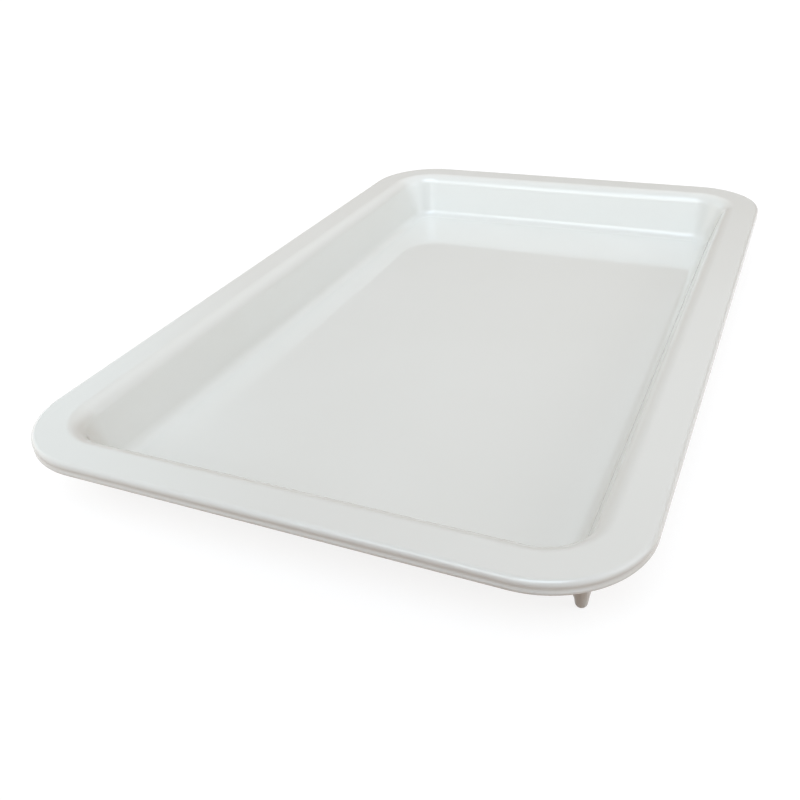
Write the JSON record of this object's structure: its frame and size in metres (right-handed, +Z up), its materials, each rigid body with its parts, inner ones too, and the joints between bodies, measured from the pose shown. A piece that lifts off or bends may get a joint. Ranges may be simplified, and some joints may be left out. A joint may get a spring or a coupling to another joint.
{
  "type": "paint roller tray",
  "caption": "Shallow rectangular moulded tray with a broad flat rim and drafted walls, standing on short push-in feet; holds paint for a roller.",
  "frame": {"origin": "on the ground, under the middle of the tray", "axes": "+Y along the tray's length towards its rear, +X to the right seen from the front, +Z up"},
  "size_m": [0.3, 0.47, 0.039],
  "materials": {
    "tray": "high gloss, off-white",
    "foot": "gloss, off-white"
  },
  "bodies": {
    "root": {"tray": "tray", "foot_front_left": "foot", "foot_front_right": "foot", "foot_rear_left": "foot", "foot_rear_right": "foot"}
  },
  "joints": []
}
